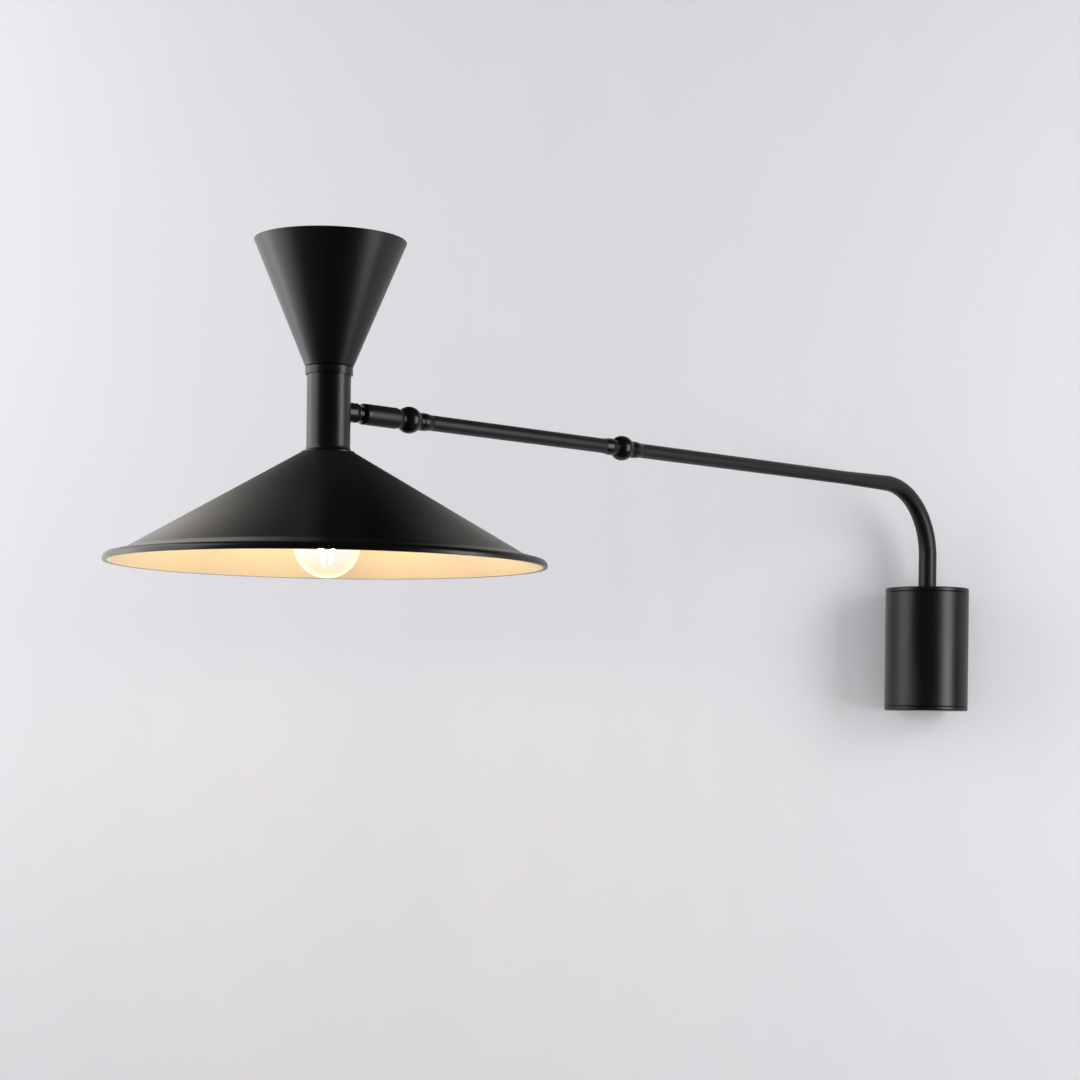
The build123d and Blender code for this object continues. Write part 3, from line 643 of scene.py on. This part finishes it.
@dataclass
class Studio:
    """The wall, the floor, the soft lights and the camera.

    Args:
        wall_colour: colour of the wall and the floor.
        shade_side: colour of the upper wall in mirror images.
        lamp_colour: colour of the softboxes.
        floor_drop: how far the floor lies under the lamp's origin, in metres.
        focal_length: of the camera, in millimetres on a 36 mm frame.
        camera_place: where the camera stands.
        camera_roll: how far it leans, in degrees.
        camera_shift: of its frame, across and up.
        streak_size: width of the backdrop's faint streaks, in metres.
        streak_shade: how dark they are, as a share of the wall's colour.
        evenness: share of plain colour that the camera sees in the backdrop.
        room: strength of the room's own light.
        mirrored_room: its strength in mirror images.
        flag_left: ramp of the wall's strength in mirror images from left to right.
        flag_height: how that strength falls towards the top.
        flag_depth: how it falls towards the floor.
        warm_height: how the upper wall turns to its warmer colour.
        flag_middle: middle of the upright dark band behind the head.
        flag_width: how the band fades to its sides.
        flag_under: how the band fades below.
        right_box: width and height of the right softbox.
        right_place: its middle.
        right_target: the point that it faces.
        right_radiance: how bright its face is, where 1 is white.
        left_box: width and height of the left softbox.
        left_place: its middle.
        left_target: the point that it faces.
        left_radiance: how bright its face is.
        backdrop_size: side of the wall and of the floor, in metres.
        wall_gap: how far the wall's sheet lies behind the lamp's back face.
        wall_middle: height of the wall's middle.
        floor_middle: how far the floor's middle stands from the wall.
    """

    wall_colour: Colour = (0.838, 0.831, 0.851)
    shade_side: Colour = (0.875, 0.84, 0.79)
    lamp_colour: Colour = (0.97, 0.975, 1.0)
    floor_drop: float = 1.1
    focal_length: float = 80.562
    camera_place: Place = (-0.3067, -2.1462, -0.0751)
    camera_roll: float = -0.7
    camera_shift: Point = (-0.0326, 0.177)
    streak_size: float = 0.05
    streak_shade: float = 0.965
    evenness: float = 0.08
    room: float = 0.52
    mirrored_room: float = 0.04
    flag_left: tuple[float, ...] = (-1.3, -0.2, 2.0, 0.7)
    flag_height: tuple[float, ...] = (0.30, 0.9, 1.0, 0.04)
    flag_depth: tuple[float, ...] = (-1.05, -0.5, 0.06, 1.0)
    warm_height: tuple[float, ...] = (0.16, 0.3, 0.0, 1.0)
    flag_middle: float = -0.455
    flag_width: tuple[float, ...] = (0.07, 0.24, 0.0, 1.0)
    flag_under: tuple[float, ...] = (0.24, 0.38, 1.0, 0.0)
    right_box: Point = (0.58, 1.1)
    right_place: Place = (0.93, -0.81, 0.15)
    right_target: Place = (-0.2, -0.25, 0.1)
    right_radiance: float = 5.2
    left_box: Point = (1.0, 1.1)
    left_place: Place = (-1.3, -0.55, 0.32)
    left_target: Place = (-0.4, -0.5, 0.1)
    left_radiance: float = 2.4
    backdrop_size: float = 6.0
    wall_gap: float = 0.0005
    wall_middle: float = 1.5
    floor_middle: float = 2.0

    def backdrop(self) -> bpy.types.Material:
        """The matt paint of the wall and the floor, see-through from behind.

        The camera sees it evened out by a share of plain colour. Mirror images on the lamp see it
        brighter on the left, and darker above, below and in a band behind the head.

        Returns:
            The material.
        """
        made = bpy.data.materials.new("backdrop_paint")
        graph = Graph(made)
        streak = graph.noise(self.streak_size, 4.0, graph.spot((1.0, 1.0, 0.12)))
        darker = tuple(self.streak_shade * part for part in self.wall_colour)
        colour = graph.blend(streak, darker, self.wall_colour)
        paint = graph.add("ShaderNodeBsdfDiffuse", inputs={"Color": colour})
        plain = graph.add("ShaderNodeEmission", inputs={"Color": colour})
        camera = graph.add("ShaderNodeLightPath", output="Is Camera Ray")
        through = graph.add("ShaderNodeLightPath", output="Is Transmission Ray")
        shader = graph.mix((camera + through) * self.evenness, paint, plain)
        across, _, up = graph.parts(graph.spot())
        left = graph.ramp(across, self.flag_left)
        low = graph.ramp(up, self.flag_height) * graph.ramp(up, self.flag_depth)
        aside = graph.ramp(graph.maths("ABSOLUTE", across - self.flag_middle, 0.0), self.flag_width)
        low = low * graph.maths("MAXIMUM", aside, graph.ramp(up, self.flag_under))
        warmer = graph.blend(graph.ramp(up, self.warm_height), colour, self.shade_side)
        flagged = graph.add("ShaderNodeEmission", inputs={"Color": warmer, "Strength": left * low})
        mirrored = graph.add("ShaderNodeLightPath", output="Is Glossy Ray")
        shader = graph.mix(mirrored, shader, flagged)
        behind = graph.add("ShaderNodeNewGeometry", output="Backfacing")
        shader = graph.mix(behind, shader, graph.add("ShaderNodeBsdfTransparent"))
        graph.add("ShaderNodeOutputMaterial", inputs={"Surface": shader})
        return made

    def sheet(self, name: str, size: float, place: Matrix) -> None:
        """A flat square of the backdrop.

        Args:
            name: the object's name.
            size: its side, in metres.
            place: where it lies and which way it faces.
        """
        mesh = bpy.data.meshes.new(name)
        grid = bmesh.new()
        bmesh.ops.create_grid(grid, x_segments=1, y_segments=1, size=size / 2, matrix=place)
        grid.to_mesh(mesh)
        grid.free()
        mesh.materials.append(self.backdrop())
        sheet = bpy.data.objects.new(name, mesh)
        bpy.context.scene.collection.objects.link(sheet)

    def softbox(self, name: str, size: Point, place: Place, target: Place,
                radiance: float) -> None:
        """A soft rectangular lamp.

        Args:
            name: the lamp's name.
            size: its width and height, in metres.
            place: its middle.
            target: the point that it faces.
            radiance: how bright its face is, where 1 is white.
        """
        light = bpy.data.lights.new(name, "AREA")
        light.shape = "RECTANGLE"
        light.size, light.size_y = size
        light.energy = radiance * math.pi * size[0] * size[1]
        light.color = self.lamp_colour
        lamp = bpy.data.objects.new(name, light)
        bpy.context.scene.collection.objects.link(lamp)
        lamp.location = place
        lamp.rotation_euler = (Vector(target) - Vector(place)).to_track_quat("-Z", "Y").to_euler()

    def lights(self) -> None:
        """The side softboxes and the room's own light."""
        self.softbox("right_softbox", self.right_box, self.right_place, self.right_target,
                     self.right_radiance)
        self.softbox("left_softbox", self.left_box, self.left_place, self.left_target,
                     self.left_radiance)
        world = bpy.data.worlds.new("room")
        bpy.context.scene.world = world
        graph = Graph(world)
        mirrored = graph.add("ShaderNodeLightPath", output="Is Glossy Ray")
        strength = mirrored * (self.mirrored_room - self.room) + self.room
        inputs = {"Color": (*self.wall_colour, 1.0), "Strength": strength}
        light = graph.add("ShaderNodeBackground", inputs=inputs)
        graph.add("ShaderNodeOutputWorld", inputs={"Surface": light})

    def camera(self) -> None:
        """The camera at the photograph's viewing angle: level, square to the wall and shifted up."""
        data = bpy.data.cameras.new("photo_camera")
        data.sensor_width = 36.0
        data.lens = self.focal_length
        data.shift_x, data.shift_y = self.camera_shift
        camera = bpy.data.objects.new("photo_camera", data)
        bpy.context.scene.collection.objects.link(camera)
        camera.location = self.camera_place
        camera.rotation_euler = (math.radians(90), math.radians(self.camera_roll), 0)
        bpy.context.scene.camera = camera

    def build(self) -> None:
        """Sets the whole studio up."""
        bpy.context.scene.view_settings.view_transform = "Standard"
        upright = Matrix.Rotation(math.radians(90), 4, "X")
        wall = Matrix.Translation((0, self.wall_gap, self.wall_middle))
        self.sheet("studio_wall", self.backdrop_size, wall @ upright)
        floor = Matrix.Translation((0, -self.floor_middle, -self.floor_drop))
        self.sheet("studio_floor", self.backdrop_size, floor)
        self.lights()
        self.camera()
        log.info("studio: wall, floor, lights and camera")


def dress_cad_nodes() -> None:
    """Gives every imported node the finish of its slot, and the drawn tubes their duller paint."""
    slots = {row["node"]: row["material_slot"] for row in frame["record"]["subparts"]}
    for node, piece in frame["nodes"].items():
        Finishes[slots[node].upper()].value.dress(piece)
    drawn_tubes = ("arm_tube", "forearm_tube", "swivel_sleeve")
    Finishes.TUBE_BLACK.value.dress(*(frame["nodes"][node] for node in drawn_tubes))
    log.info("finishes on %d packed nodes", len(frame["nodes"]))


def main() -> None:
    """Builds the lamp's looks and the studio in order."""
    logging.basicConfig(level=logging.INFO, format="%(message)s")
    dress_cad_nodes()
    Head().build()
    Studio().build()


if __name__ == "__main__":
    main()
